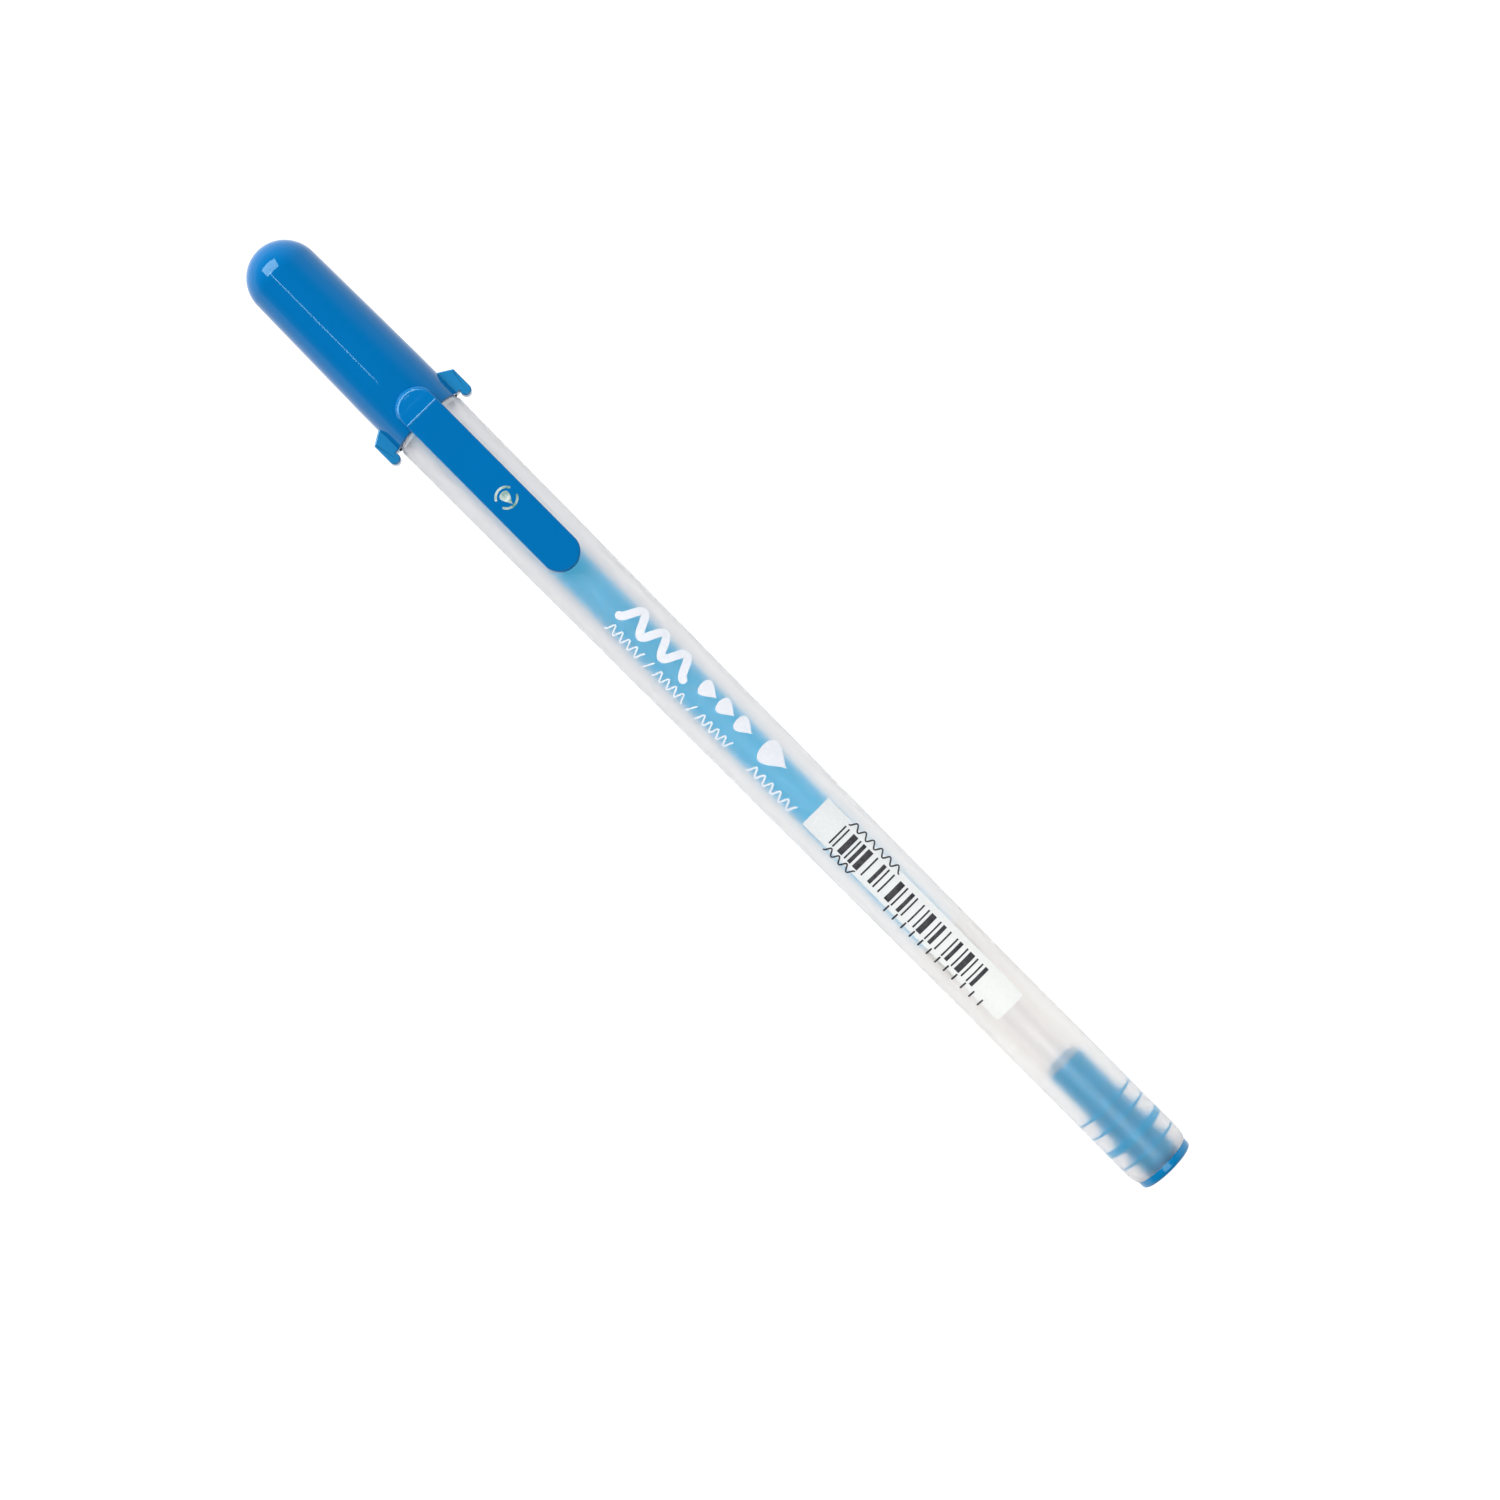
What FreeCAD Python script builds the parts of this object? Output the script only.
import FreeCAD, Part
import math
import os
import re

import Sketcher

# A capped gel pen, closed, lying along X. The origin is the centre of the flat tail face, +X runs from
# the tail to the dome of the cap, and +Z runs through the clip. Every turned piece is drawn as half a
# section in its XY plane (x along the pen, y the radius) and turned about the pen's axis.

# ---------------------------------------------------------------- sizes, in millimetres and degrees

SIZES = [
    ("overall_length", 150.0, "tail face to the top of the cap's dome"),
    # barrel
    ("bore_radius", 3.25, "bore of the barrel"),
    ("rear_wall", 0.83, "barrel wall along the parallel rear land"),
    ("front_wall", 1.33, "barrel wall at the shoulder"),
    ("rear_land_end", 30.0, "end of the parallel rear land, from the tail face"),
    ("tail_round_length", 1.5, "length of the rounded rear edge"),
    ("tail_round_drop", 0.36, "how far the rounded rear edge comes in"),
    ("shoulder_chamfer_length", 0.5, "chamfer of the shoulder, along the pen"),
    ("shoulder_chamfer_depth", 0.25, "chamfer of the shoulder, inwards"),
    ("neck_wall", 0.8, "barrel wall under the cap"),
    ("neck_length", 9.15, "neck from the shoulder to its front face"),
    ("snap_ring_start", 2.6, "snap ring on the neck, from the shoulder"),
    ("snap_ring_length", 1.6, "snap ring, along the pen"),
    ("snap_ring_height", 0.07, "snap ring, above the neck"),
    # cap
    ("cap_length", 28.1, "mouth to dome"),
    ("cap_fit", 0.1, "running clearance of the cap on the neck"),
    ("cap_wall", 0.65, "cap wall at the mouth"),
    ("cap_land_length", 6.5, "parallel stretch of the cap behind its mouth"),
    ("cap_taper", 0.25, "fall of the radius from the mouth to the dome"),
    ("cap_step", 0.4, "step of the bore past the nose cone's collar"),
    ("dome_wall", 0.8, "wall of the dome"),
    ("mouth_gap", 0.05, "gap between the mouth and the shoulder"),
    ("mouth_round", 0.12, "fillet on the outer edge of the mouth"),
    # lugs
    ("lug_projection", 1.63, "lug, outwards from the cap"),
    ("lug_height", 2.0, "lug, from face to face"),
    ("lug_root_length", 3.3, "lug at its root, from the mouth"),
    ("lug_edge_length", 2.3, "lug at its outer edge, from the mouth"),
    ("lug_bead_radius", 0.67, "bead on the end of the lug"),
    ("lug_bead_overhang", 0.4, "bead centre, past the mouth"),
    # clip
    ("clip_width", 4.7, "clip and its pad"),
    ("clip_length", 24.7, "crease to tip"),
    ("clip_thickness", 1.1, "clip blade"),
    ("clip_gap", 0.35, "clip blade above the barrel"),
    ("clip_tip_blunt", 0.3, "how much flatter than a half circle the tip is"),
    ("clip_edge_round", 0.2, "fillet on the upper edge of the clip"),
    ("crease_offset", 0.4, "crease from the mouth, towards the dome"),
    ("pad_length", 3.4, "pad, from the crease towards the dome"),
    ("pad_blunt", 0.6, "how much flatter than a half circle the pad's end is"),
    ("pad_drop", 0.45, "fall of the pad's top from the crease to its end"),
    ("grip_bump_setback", 2.6, "bump under the clip, from the tip"),
    ("grip_bump_length", 2.4, "bump, along the clip"),
    ("grip_bump_width", 3.0, "bump, across the clip"),
    ("grip_bump_gap", 0.1, "bump above the barrel"),
    ("foil_radius", 1.4, "foil mark"),
    ("foil_thickness", 0.03, "foil mark"),
    ("foil_setback", 13.7, "foil mark, from the crease"),
    # refill
    ("refill_bore_radius", 1.8, "bore of the ink tube"),
    ("refill_wall", 0.5, "wall of the ink tube"),
    ("refill_headroom", 15.9, "empty tube behind the follower"),
    ("follower_length", 5.0, "grease plug"),
    ("ink_fit", 0.02, "film between the tube and its contents"),
    # tail plug
    ("flange_radius", 3.7, "end flange"),
    ("flange_thickness", 1.1, "end flange"),
    ("flange_round", 0.35, "fillet on the end flange"),
    ("boss_step", 0.2, "boss, beyond the ink tube's radius"),
    ("boss_end", 17.1, "front of the boss, from the tail face"),
    ("spigot_length", 1.2, "spigot inside the ink tube"),
    ("spigot_lead", 0.4, "lead-in cone of the spigot"),
    ("thin_fin", 0.35, "thickness of a thin fin"),
    ("thick_fin", 1.05, "thickness of the thick fin"),
    ("vent_radius", 0.6, "air bore through the boss"),
    ("vent_floor", 3.0, "closed end of the air bore, from the tail face"),
    ("vent_cross", 12.8, "cross hole, from the tail face"),
    ("vent_notch_width", 0.8, "air notch through flange and fins"),
    ("vent_notch_depth", 0.5, "air notch, inwards from the bore"),
    # nose and point
    ("nose_spigot_length", 6.0, "nose cone inside the barrel"),
    ("nose_step", 0.2, "nose cone under the neck"),
    ("nose_collar_length", 0.8, "straight collar of the nose cone"),
    ("nose_front_radius", 1.5, "front of the nose cone"),
    ("nose_fit", 0.05, "clearance of the tip holder in the nose cone"),
    ("holder_seat_length", 1.5, "collar of the tip holder"),
    ("holder_cone_step", 0.4, "cone of the tip holder, inside its collar"),
    ("holder_front_radius", 1.15, "front of the tip holder"),
    ("holder_spigot_length", 5.0, "tip holder inside the ink tube"),
    ("holder_setback", 0.3, "front of the tip holder, behind the nose cone's"),
    ("channel_radius", 0.45, "ink channel of the tip holder"),
    ("chamber_radius", 1.1, "valve chamber"),
    ("chamber_length", 2.5, "valve chamber"),
    ("chamber_inlet_radius", 0.6, "inlet of the valve chamber"),
    ("chamber_inlet_length", 0.5, "inlet of the valve chamber"),
    ("chamber_seat_length", 1.0, "conical seat of the valve chamber"),
    ("check_ball_radius", 0.8, "loose ball in the valve chamber"),
    ("check_ball_setback", 1.4, "centre of the check ball, from the tip holder's rear face"),
    ("tip_setback", 4.65, "end of the point, from the top of the dome"),
    ("tip_exposed", 4.05, "point in front of the nose cone"),
    ("shank_radius", 0.8, "shank of the point in the tip holder"),
    ("shank_length", 3.5, "shank of the point in the tip holder"),
    ("point_radius", 1.1, "body of the point"),
    ("point_body_length", 1.3, "straight body of the point"),
    ("point_channel_radius", 0.3, "ink channel of the point"),
    ("point_throat_radius", 0.2, "ink channel behind the ball"),
    ("ball_radius", 0.35, "writing ball"),
    ("ball_fit", 0.015, "running clearance of the writing ball"),
    ("lip_reach", 0.12, "rolled lip, past the middle of the ball"),
    ("lip_wall", 0.07, "rolled lip"),
    # seal in the cap
    ("seal_radius", 1.9, "soft seal in the dome"),
    ("seal_gap", 0.05, "seal in front of the ball"),
]

# Middle of each fin of the tail plug, from the tail face, and the size that is its thickness.
FINS = [(3.4, "thin_fin"), (5.7, "thick_fin"), (8.3, "thin_fin"), (10.4, "thin_fin")]

# ---------------------------------------------------------------- places worked out from the sizes

REFILL_R = "(refill_bore_radius + refill_wall)"
BOSS_R = f"({REFILL_R} + boss_step)"
REAR_R = "(bore_radius + rear_wall)"
FRONT_R = "(bore_radius + front_wall)"
NECK_R = "(bore_radius + neck_wall)"
CAP_BORE_R = f"({NECK_R} + cap_fit)"
CAP_R = f"({CAP_BORE_R} + cap_wall)"
DOME_R = f"({CAP_R} - cap_taper)"
DOME_BORE_R = f"({DOME_R} - dome_wall)"

MOUTH_X = "(overall_length - cap_length)"
SHOULDER_X = f"({MOUTH_X} - mouth_gap)"
NECK_END_X = f"({SHOULDER_X} + neck_length)"
DOME_X = f"(overall_length - {DOME_R})"
SEAL_END_X = f"({DOME_X} + sqrt({DOME_BORE_R}^2 - seal_radius^2))"
TIP_X = "(overall_length - tip_setback)"
BALL_X = f"({TIP_X} - ball_radius)"
NOSE_FRONT_X = f"({TIP_X} - tip_exposed)"
HOLDER_REAR_X = f"({NECK_END_X} - holder_spigot_length)"
HOLDER_SEAT_X = f"({NECK_END_X} + holder_seat_length)"
HOLDER_FRONT_X = f"({NOSE_FRONT_X} - holder_setback)"
SHANK_REAR_X = f"({HOLDER_FRONT_X} - shank_length)"
FOLLOWER_X = "(boss_end + refill_headroom)"
INK_X = f"({FOLLOWER_X} + follower_length + ink_fit)"

CREASE_X = f"({MOUTH_X} + crease_offset)"
PAD_END_X = f"({CREASE_X} + pad_length)"
CLIP_TIP_X = f"({CREASE_X} - clip_length)"
CLIP_UNDER_Z = f"({FRONT_R} + clip_gap)"
CLIP_TOP_Z = f"({CLIP_UNDER_Z} + clip_thickness)"
HALF_CLIP = "(clip_width / 2)"

SOCKET_R = "(ball_radius + ball_fit)"
SOCKET_LIP_R = f"sqrt({SOCKET_R}^2 - lip_reach^2)"
SOCKET_REAR_X = f"({BALL_X} - sqrt({SOCKET_R}^2 - point_throat_radius^2))"

# ---------------------------------------------------------------- document and drawing helpers

doc = FreeCAD.newDocument("GelPen")
sheet = doc.addObject("Spreadsheet::Sheet", "Sizes")
for row, (alias, value, note) in enumerate(SIZES, start=1):
    sheet.set(f"A{row}", alias)
    sheet.set(f"B{row}", str(value))
    sheet.setAlias(f"B{row}", alias)
    sheet.set(f"C{row}", note)
doc.recompute()

ALIASES = {alias for alias, _, _ in SIZES}
START, END, CENTRE = 1, 2, 3
ORIGIN, ALONG, ACROSS = -1, -1, -2
pieces = []


def bound(text):
    """An expression of size names, as one that an object outside the sheet can be bound to."""
    return re.sub(r"[a-z_]+", lambda m: f"Sizes.{m[0]}" if m[0] in ALIASES else m[0], str(text))


def value_of(text):
    """The number that an expression of size names comes to."""
    return float(sheet.evalExpression(bound(text)))


def new_body(label, rise=None):
    """An empty body in the pen's own frame, or lifted by rise."""
    body = doc.addObject("PartDesign::Body", label)
    body.Label = label
    body.Placement = FreeCAD.Placement()
    if rise:
        body.setExpression("Placement.Base.z", bound(rise))
    pieces.append(body)
    return body


def new_sketch(body, name, plane):
    """A sketch on one of the body's own origin planes."""
    sketch = body.newObject("Sketcher::SketchObject", name)
    support = [o for o in body.Origin.OriginFeatures if o.Role == plane][0]
    sketch.AttachmentSupport = [(support, "")]
    sketch.MapMode = "FlatFace"
    return sketch


def tie(sketch, kind, geometry, point, text):
    """Ties a point of the sketch to a distance from the origin, along X or Y."""
    value = value_of(text)
    if abs(value) < 1e-9:
        line = ACROSS if kind == "DistanceX" else ALONG
        sketch.addConstraint(Sketcher.Constraint("PointOnObject", geometry, point, line))
        return
    number = sketch.addConstraint(Sketcher.Constraint(kind, ORIGIN, START, geometry, point, value))
    sketch.setExpression(f"Constraints[{number}]", bound(text))


def draw_loop(sketch, corners):
    """Draws a closed outline through the corners. A corner is (x, y), or (x, y, centre x) where the
    side that leaves it is the shorter arc about a centre at that x."""
    points = [FreeCAD.Vector(value_of(c[0]), value_of(c[1]), 0) for c in corners]
    ends = []
    for i, corner in enumerate(corners):
        here, there = points[i], points[(i + 1) % len(points)]
        if len(corner) == 2:
            side = sketch.addGeometry(Part.LineSegment(here, there), False)
            ends.append((side, START, END))
            continue
        cx = value_of(corner[2])
        across = (here.x - cx) ** 2 - (there.x - cx) ** 2 + here.y**2 - there.y**2
        centre = FreeCAD.Vector(cx, across / (2 * (here.y - there.y)), 0)
        leaving, arriving = here - centre, there - centre
        ccw = leaving.cross(arriving).z > 0
        first, last = (leaving, arriving) if ccw else (arriving, leaving)
        circle = Part.Circle(centre, FreeCAD.Vector(0, 0, 1), leaving.Length)
        angles = (math.atan2(first.y, first.x), math.atan2(last.y, last.x))
        side = sketch.addGeometry(Part.ArcOfCircle(circle, *angles), False)
        ends.append((side, START, END) if ccw else (side, END, START))
    for i, (side, _, end) in enumerate(ends):
        after, start, _ = ends[(i + 1) % len(ends)]
        sketch.addConstraint(Sketcher.Constraint("Coincident", side, end, after, start))
    for corner, (side, start, _) in zip(corners, ends):
        tie(sketch, "DistanceX", side, start, corner[0])
        tie(sketch, "DistanceY", side, start, corner[1])
        if len(corner) == 3:
            tie(sketch, "DistanceX", side, CENTRE, corner[2])


def turn(body, name, corners, cut=False):
    """Turns an outline about the pen's axis, to add it to the body or cut it out."""
    sketch = new_sketch(body, f"{name}_section", "XY_Plane")
    draw_loop(sketch, corners)
    before = body.Shape.Volume if cut else 0
    feature = body.newObject("PartDesign::Groove" if cut else "PartDesign::Revolution", name)
    feature.Profile = sketch
    feature.ReferenceAxis = (sketch, ["H_Axis"])
    feature.Angle = 360
    body.Tip = feature
    doc.recompute()
    assert not cut or body.Shape.Volume < before, f"{name} cuts nothing"
    return feature


def raise_from(body, name, plane, loops, height, both_ways=False, cut=False, flip=False):
    """Pads or pockets the loops of a sketch on an origin plane, to a height."""
    sketch = new_sketch(body, f"{name}_outline", plane)
    for loop in loops:
        draw_loop(sketch, loop)
    return push(body, name, sketch, height, both_ways, cut, flip)


def push(body, name, sketch, height, both_ways=False, cut=False, flip=False):
    """Pads or pockets a finished sketch, and checks that it changed the body the right way."""
    before = body.Shape.Volume if body.Tip else 0
    feature = body.newObject("PartDesign::Pocket" if cut else "PartDesign::Pad", name)
    feature.Profile = sketch
    feature.setExpression("Length", bound(height))
    feature.SideType = "Symmetric" if both_ways else "One side"
    feature.Reversed = flip
    body.Tip = feature
    doc.recompute()
    change = body.Shape.Volume - before
    assert (change < -1e-9) if cut else (change > 1e-9), f"{name} points the wrong way"
    return feature


def draw_circles(sketch, radius, centres):
    """Draws circles of one radius about centres given as (x, y)."""
    for x, y in centres:
        middle = FreeCAD.Vector(value_of(x), value_of(y), 0)
        circle = Part.Circle(middle, FreeCAD.Vector(0, 0, 1), value_of(radius))
        side = sketch.addGeometry(circle, False)
        tie(sketch, "DistanceX", side, CENTRE, x)
        tie(sketch, "DistanceY", side, CENTRE, y)
        number = sketch.addConstraint(Sketcher.Constraint("Radius", side, value_of(radius)))
        sketch.setExpression(f"Constraints[{number}]", bound(radius))


def round_edges(body, name, radius, chosen):
    """Fillets the edges of the body's tip that the function chosen picks."""
    base = body.Tip
    names = [f"Edge{i}" for i, edge in enumerate(base.Shape.Edges, start=1) if chosen(edge)]
    assert names, f"{name} finds no edge"
    fillet = body.newObject("PartDesign::Fillet", name)
    fillet.Base = (base, names)
    fillet.setExpression("Radius", bound(radius))
    body.Tip = fillet
    doc.recompute()
    return fillet


def ball(label, radius, x):
    """A sphere on the pen's axis."""
    sphere = doc.addObject("Part::Sphere", label)
    sphere.Label = label
    sphere.setExpression("Radius", bound(radius))
    sphere.setExpression("Placement.Base.x", bound(x))
    pieces.append(sphere)
    return sphere


def at_x(edge, x):
    """Whether an edge lies in the plane at that x."""
    box = edge.BoundBox
    return abs(box.XMin - x) < 1e-3 and abs(box.XMax - x) < 1e-3


# ---------------------------------------------------------------- barrel and nose


def make_barrel_tube():
    """Frosted barrel: rounded rear edge, parallel rear land, long taper, chamfered shoulder, neck."""
    body = new_body("barrel_tube")
    ring_start = f"({SHOULDER_X} + snap_ring_start)"
    ring_end = f"({ring_start} + snap_ring_length)"
    ring_r = f"({NECK_R} + snap_ring_height)"
    rounding_x = "(flange_thickness + tail_round_length)"
    turn(
        body,
        "barrel_turned",
        [
            ("flange_thickness", "bore_radius"),
            ("flange_thickness", f"{REAR_R} - tail_round_drop", rounding_x),
            (rounding_x, REAR_R),
            ("rear_land_end", REAR_R),
            (f"{SHOULDER_X} - shoulder_chamfer_length", FRONT_R),
            (SHOULDER_X, f"{FRONT_R} - shoulder_chamfer_depth"),
            (SHOULDER_X, NECK_R),
            (ring_start, NECK_R),
            (f"{ring_start} + snap_ring_length / 3", ring_r),
            (f"{ring_end} - snap_ring_length / 3", ring_r),
            (ring_end, NECK_R),
            (NECK_END_X, NECK_R),
            (NECK_END_X, "bore_radius"),
        ],
    )


def make_nose_cone():
    """Cone pressed into the neck. Its bore passes the ink tube, seats the tip holder's collar and
    narrows with the holder's own cone."""
    body = new_body("nose_cone")
    rear_x = f"({NECK_END_X} - nose_spigot_length)"
    collar_r = f"({NECK_R} - nose_step)"
    holder_cone_r = f"({REFILL_R} - holder_cone_step)"
    turn(
        body,
        "nose_turned",
        [
            (rear_x, f"{REFILL_R} + nose_fit"),
            (rear_x, "bore_radius"),
            (NECK_END_X, "bore_radius"),
            (NECK_END_X, collar_r),
            (f"{NECK_END_X} + nose_collar_length", collar_r),
            (NOSE_FRONT_X, "nose_front_radius"),
            (NOSE_FRONT_X, "holder_front_radius + nose_fit"),
            (f"{HOLDER_SEAT_X} + nose_fit", f"{holder_cone_r} + nose_fit"),
            (f"{HOLDER_SEAT_X} + nose_fit", f"{REFILL_R} + nose_fit"),
        ],
    )


# ---------------------------------------------------------------- refill


def make_refill_tube():
    """Clear ink tube from the tail plug's boss to the tip holder's collar."""
    body = new_body("refill_tube")
    turn(
        body,
        "refill_turned",
        [
            ("boss_end", "refill_bore_radius"),
            ("boss_end", REFILL_R),
            (NECK_END_X, REFILL_R),
            (NECK_END_X, "refill_bore_radius"),
        ],
    )


def make_rod(label, start_x, end_x):
    """A solid rod of ink or grease, a film thinner than the ink tube's bore."""
    radius = "refill_bore_radius - ink_fit"
    turn(new_body(label), f"{label}_turned", [(start_x, 0), (start_x, radius), (end_x, radius), (end_x, 0)])


def make_tip_holder():
    """Adapter: hollow spigot in the ink tube with the valve chamber, collar, cone, socket for the
    point's shank."""
    body = new_body("tip_holder")
    chamber_x = f"({HOLDER_REAR_X} + chamber_inlet_length)"
    seat_x = f"({chamber_x} + chamber_length)"
    channel_x = f"({seat_x} + chamber_seat_length)"
    turn(
        body,
        "holder_turned",
        [
            (HOLDER_REAR_X, "chamber_inlet_radius"),
            (HOLDER_REAR_X, "refill_bore_radius"),
            (NECK_END_X, "refill_bore_radius"),
            (NECK_END_X, REFILL_R),
            (HOLDER_SEAT_X, REFILL_R),
            (HOLDER_SEAT_X, f"{REFILL_R} - holder_cone_step"),
            (HOLDER_FRONT_X, "holder_front_radius"),
            (HOLDER_FRONT_X, "shank_radius"),
            (SHANK_REAR_X, "shank_radius"),
            (SHANK_REAR_X, "channel_radius"),
            (channel_x, "channel_radius"),
            (seat_x, "chamber_radius"),
            (chamber_x, "chamber_radius"),
            (chamber_x, "chamber_inlet_radius"),
        ],
    )


def make_point_tip():
    """Steel point: shank, body, cone, and a socket that wraps past the middle of the ball."""
    body = new_body("point_tip")
    lip_x = f"({BALL_X} + lip_reach)"
    turn(
        body,
        "point_turned",
        [
            (SHANK_REAR_X, "point_channel_radius"),
            (SHANK_REAR_X, "shank_radius"),
            (HOLDER_FRONT_X, "shank_radius"),
            (HOLDER_FRONT_X, "point_radius"),
            (f"{HOLDER_FRONT_X} + point_body_length", "point_radius"),
            (lip_x, f"{SOCKET_LIP_R} + lip_wall"),
            (lip_x, SOCKET_LIP_R, BALL_X),
            (SOCKET_REAR_X, "point_throat_radius"),
            (f"{SOCKET_REAR_X} - ball_radius", "point_throat_radius"),
            (f"{SOCKET_REAR_X} - 2 * ball_radius", "point_channel_radius"),
        ],
    )


# ---------------------------------------------------------------- tail plug


def make_tail_plug():
    """Plug: end flange, boss, four fins that grip the bore, spigot for the ink tube, and an air way
    from the ink tube through a cross hole and the notched fins to the outside."""
    body = new_body("tail_plug")
    outline = [
        (0, 0),
        (0, "flange_radius"),
        ("flange_thickness", "flange_radius"),
        ("flange_thickness", BOSS_R),
    ]
    for middle, thickness in FINS:
        rear, front = f"({middle} - {thickness} / 2)", f"({middle} + {thickness} / 2)"
        outline += [(rear, BOSS_R), (rear, "bore_radius"), (front, "bore_radius"), (front, BOSS_R)]
    outline += [
        ("boss_end", BOSS_R),
        ("boss_end", "refill_bore_radius"),
        ("boss_end + spigot_length - spigot_lead", "refill_bore_radius"),
        ("boss_end + spigot_length", "refill_bore_radius - spigot_lead"),
        ("boss_end + spigot_length", 0),
    ]
    turn(body, "plug_turned", outline)
    round_edges(body, "flange_rounded", "flange_round", lambda edge: at_x(edge, 0))
    air_end = "boss_end + spigot_length"
    air_bore = [("vent_floor", 0), ("vent_floor", "vent_radius"), (air_end, "vent_radius"), (air_end, 0)]
    turn(body, "air_bore", air_bore, cut=True)
    cross = new_sketch(body, "air_cross_outline", "XY_Plane")
    draw_circles(cross, "vent_radius", [("vent_cross", 0)])
    push(body, "air_cross", cross, f"2 * {BOSS_R} + 1", both_ways=True, cut=True)
    half = "(vent_notch_width / 2)"
    floor_z = "-(bore_radius - vent_notch_depth)"
    rim_z = "-bore_radius"
    notch = [(f"-{half}", rim_z), (half, rim_z), (half, floor_z), (f"-{half}", floor_z)]
    raise_from(body, "air_notch", "YZ_Plane", [notch], "vent_cross", cut=True, flip=True)


# ---------------------------------------------------------------- cap


def make_cap_shell():
    """Cap: domed shell with the clip's pad and two hooked lugs, bored out last."""
    body = new_body("cap_shell")
    turn(
        body,
        "cap_turned",
        [
            (MOUTH_X, 0),
            (MOUTH_X, CAP_R),
            (f"{MOUTH_X} + cap_land_length", CAP_R),
            (DOME_X, DOME_R, DOME_X),
            ("overall_length", 0),
        ],
    )
    mouth_x = value_of(MOUTH_X)
    round_edges(body, "mouth_rounded", "mouth_round", lambda edge: at_x(edge, mouth_x))

    depth = f"({HALF_CLIP} - pad_blunt)"
    radius = f"({depth}^2 + {HALF_CLIP}^2) / (2 * {depth})"
    shoulder_x = f"({PAD_END_X} - {depth})"
    arc_x = f"({PAD_END_X} - {radius})"
    arch = [(CREASE_X, HALF_CLIP), (CREASE_X, f"-{HALF_CLIP}"), (shoulder_x, f"-{HALF_CLIP}", arc_x), (shoulder_x, HALF_CLIP)]
    raise_from(body, "clip_pad", "XY_Plane", [arch], CLIP_TOP_Z)
    slope = [(CREASE_X, CLIP_TOP_Z), (PAD_END_X, f"{CLIP_TOP_Z} - pad_drop"), (PAD_END_X, CLIP_TOP_Z)]
    raise_from(body, "pad_slope", "XZ_Plane", [slope], "clip_width + 1", both_ways=True, cut=True)
    top_z, crease_x = value_of(f"{CLIP_TOP_Z} - pad_drop"), value_of(CREASE_X)

    def on_pad_rim(edge):
        """Whether an edge bounds the pad's sloped top, away from the crease."""
        return edge.BoundBox.ZMin > top_z - 1e-3 and not at_x(edge, crease_x)

    round_edges(body, "pad_rounded", "clip_edge_round", on_pad_rim)

    inner_y, outer_y = f"({CAP_BORE_R} + cap_wall / 4)", f"({CAP_R} + lug_projection)"
    bead_x = f"({MOUTH_X} - lug_bead_overhang)"
    bead_y = f"({outer_y} - lug_bead_radius)"
    root_x, edge_x = f"({MOUTH_X} + lug_root_length)", f"({MOUTH_X} + lug_edge_length)"
    lugs = []
    for sign in ("", "-"):
        lugs.append(
            [
                (MOUTH_X, f"{sign}{inner_y}"),
                (MOUTH_X, f"{sign}{bead_y}"),
                (bead_x, f"{sign}{bead_y}"),
                (bead_x, f"{sign}{outer_y}"),
                (edge_x, f"{sign}{outer_y}"),
                (root_x, f"{sign}{CAP_R}"),
                (root_x, f"{sign}{inner_y}"),
            ]
        )
    raise_from(body, "lugs", "XY_Plane", lugs, "lug_height", both_ways=True)
    beads = new_sketch(body, "lug_beads_outline", "XY_Plane")
    draw_circles(beads, "lug_bead_radius", [(bead_x, bead_y), (bead_x, f"-{bead_y}")])
    push(body, "lug_beads", beads, "lug_height", both_ways=True)

    step_x = f"({NECK_END_X} + nose_collar_length + cap_step)"
    cavity = [
        (f"{MOUTH_X} - 1", 0),
        (f"{MOUTH_X} - 1", CAP_BORE_R),
        (step_x, CAP_BORE_R),
        (f"{step_x} + 2 * cap_step", f"{CAP_BORE_R} - cap_step"),
        (DOME_X, DOME_BORE_R, DOME_X),
        (SEAL_END_X, "seal_radius"),
        (SEAL_END_X, 0),
    ]
    turn(body, "cap_bore", cavity, cut=True)


def make_cap_seal():
    """Soft disc that fills the end of the cap's bore, a hair in front of the writing ball."""
    start_x = f"({TIP_X} + seal_gap)"
    outline = [(start_x, 0), (start_x, "seal_radius"), (SEAL_END_X, "seal_radius"), (SEAL_END_X, 0)]
    turn(new_body("cap_seal"), "seal_turned", outline)


# ---------------------------------------------------------------- clip


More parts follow.
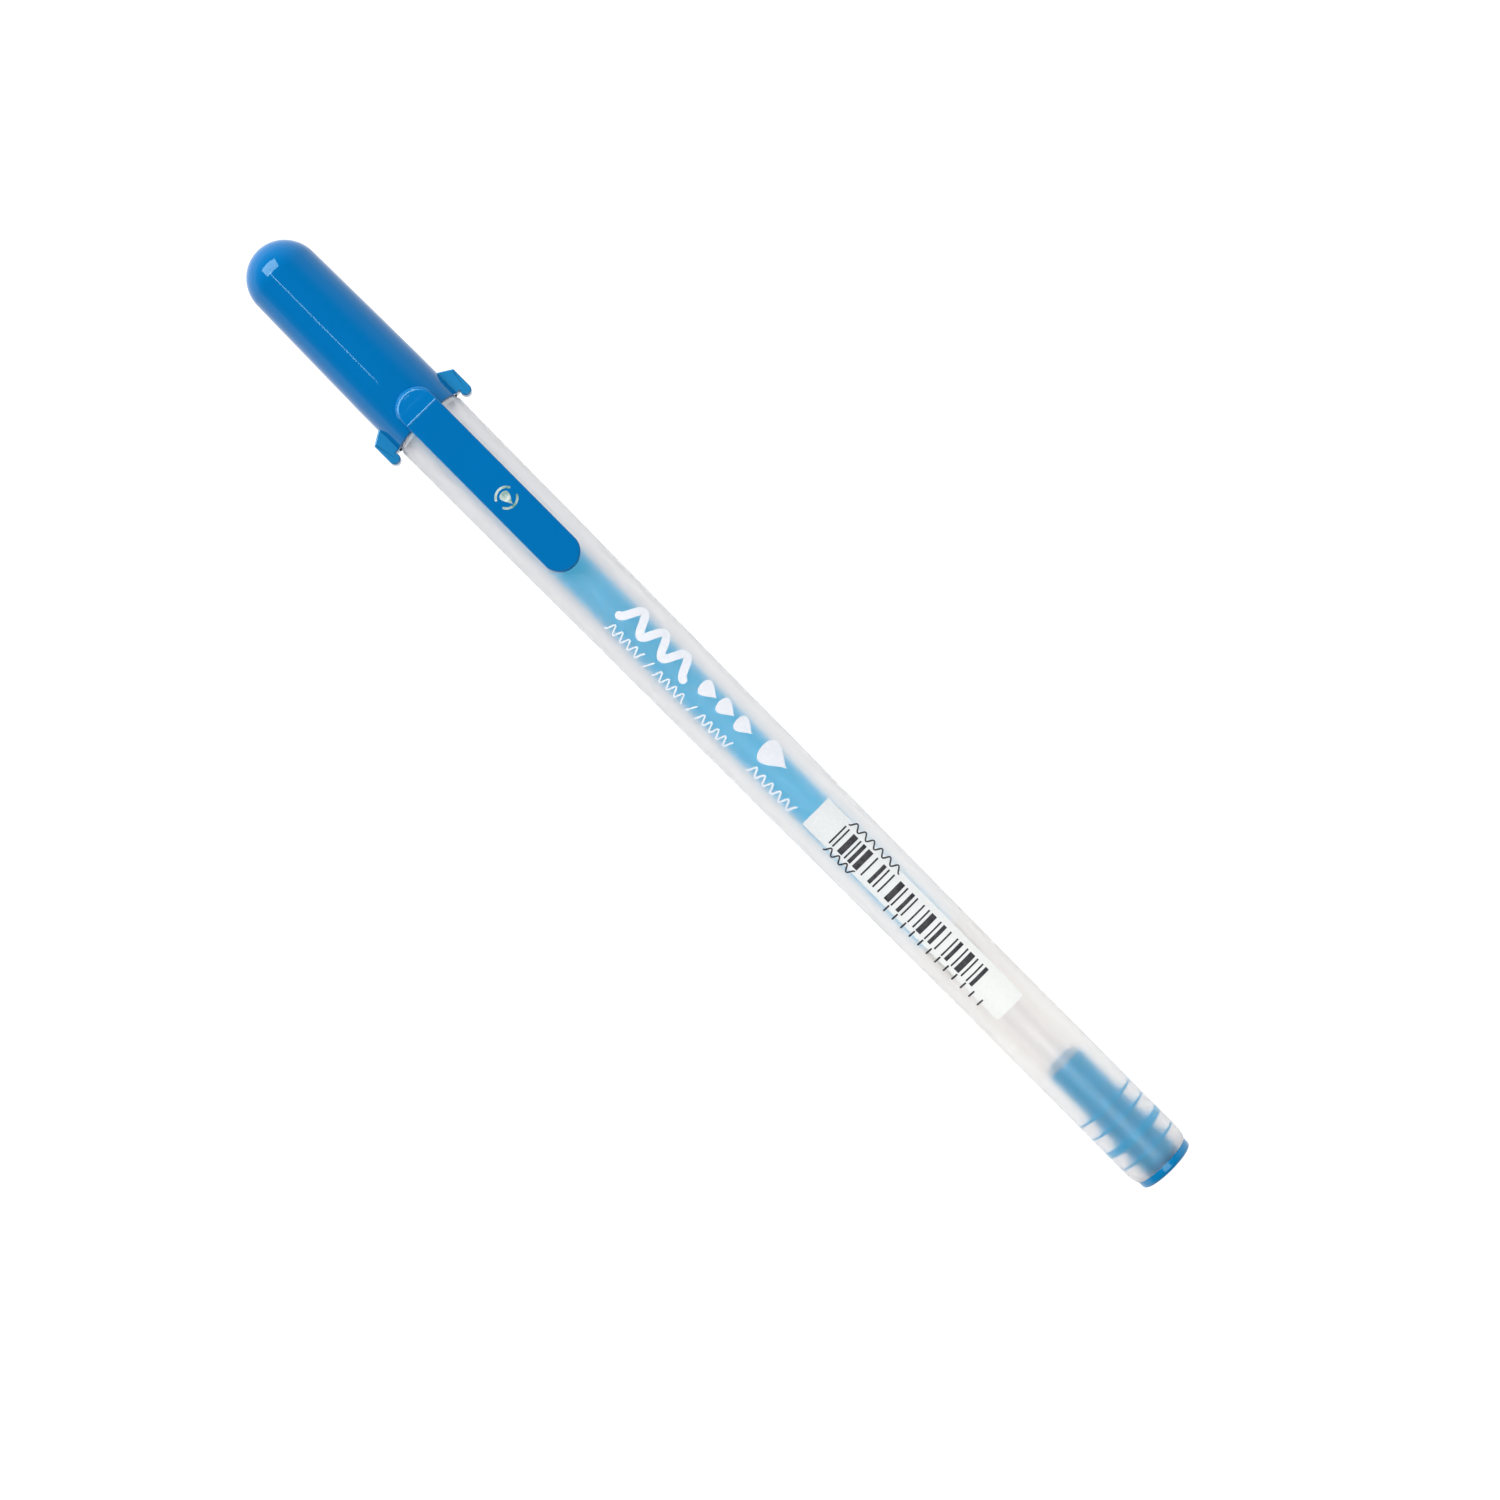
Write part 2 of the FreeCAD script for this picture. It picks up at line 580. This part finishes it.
def make_clip_blade():
    """Flat clip with a rounded tip and a gripping bump under it, lifted to clear the barrel."""
    body = new_body("clip_blade", rise=CLIP_UNDER_Z)
    depth = f"({HALF_CLIP} - clip_tip_blunt)"
    radius = f"({depth}^2 + {HALF_CLIP}^2) / (2 * {depth})"
    shoulder_x = f"({CLIP_TIP_X} + {depth})"
    arc_x = f"({CLIP_TIP_X} + {radius})"
    blade = [(CREASE_X, f"-{HALF_CLIP}"), (CREASE_X, HALF_CLIP), (shoulder_x, HALF_CLIP, arc_x), (shoulder_x, f"-{HALF_CLIP}")]
    raise_from(body, "blade", "XY_Plane", [blade], "clip_thickness")
    crease_x, top_z = value_of(CREASE_X), value_of("clip_thickness")

    def on_blade_rim(edge):
        """Whether an edge bounds the blade's top, away from the crease."""
        return edge.BoundBox.ZMin > top_z - 1e-3 and not at_x(edge, crease_x)

    round_edges(body, "blade_rounded", "clip_edge_round", on_blade_rim)
    bump_x = f"({CLIP_TIP_X} + grip_bump_setback)"
    far_x = f"({bump_x} + grip_bump_length)"
    root_z = "clip_thickness / 2"
    floor_z = "-(clip_gap - grip_bump_gap)"
    slant = "grip_bump_length / 4"
    bump = [
        (bump_x, root_z),
        (bump_x, 0),
        (f"{bump_x} + {slant}", floor_z),
        (f"{far_x} - {slant}", floor_z),
        (far_x, 0),
        (far_x, root_z),
    ]
    raise_from(body, "grip_bump", "XZ_Plane", [bump], "grip_bump_width", both_ways=True)


def make_clip_foil():
    """Thin round foil mark on the clip."""
    foil = doc.addObject("Part::Cylinder", "clip_foil")
    foil.Label = "clip_foil"
    foil.setExpression("Radius", bound("foil_radius"))
    foil.setExpression("Height", bound("foil_thickness"))
    foil.setExpression("Placement.Base.x", bound(f"{CREASE_X} - foil_setback"))
    foil.setExpression("Placement.Base.z", bound(CLIP_TOP_Z))
    pieces.append(foil)


make_barrel_tube()
make_nose_cone()
make_refill_tube()
make_rod("ink_column", INK_X, HOLDER_REAR_X)
make_rod("ink_follower", FOLLOWER_X, f"{FOLLOWER_X} + follower_length")
make_tip_holder()
make_point_tip()
ball("writing_ball", "ball_radius", BALL_X)
ball("check_ball", "check_ball_radius", f"{HOLDER_REAR_X} + check_ball_setback")
make_tail_plug()
make_cap_shell()
make_cap_seal()
make_clip_blade()
make_clip_foil()
doc.recompute()

# ---------------------------------------------------------------- checks and export

for item in doc.Objects:
    faults = {"Invalid", "Error"} & set(item.State)
    assert not faults, f"{item.Label} is {faults}"
for piece in pieces:
    assert not piece.Shape.isNull() and piece.Shape.isValid(), f"{piece.Label} has no valid shape"
    assert len(piece.Shape.Solids) == 1, f"{piece.Label} is not one solid"

os.makedirs("parts", exist_ok=True)
for piece in pieces:
    piece.Shape.exportStep(f"parts/{piece.Label}.step")
    box = piece.Shape.BoundBox
    print(f"{piece.Label:13} x {box.XMin:7.2f} {box.XMax:7.2f}  y {box.YMin:6.2f} {box.YMax:6.2f}", end="")
    print(f"  z {box.ZMin:6.2f} {box.ZMax:6.2f}  volume {piece.Shape.Volume:9.3f}")
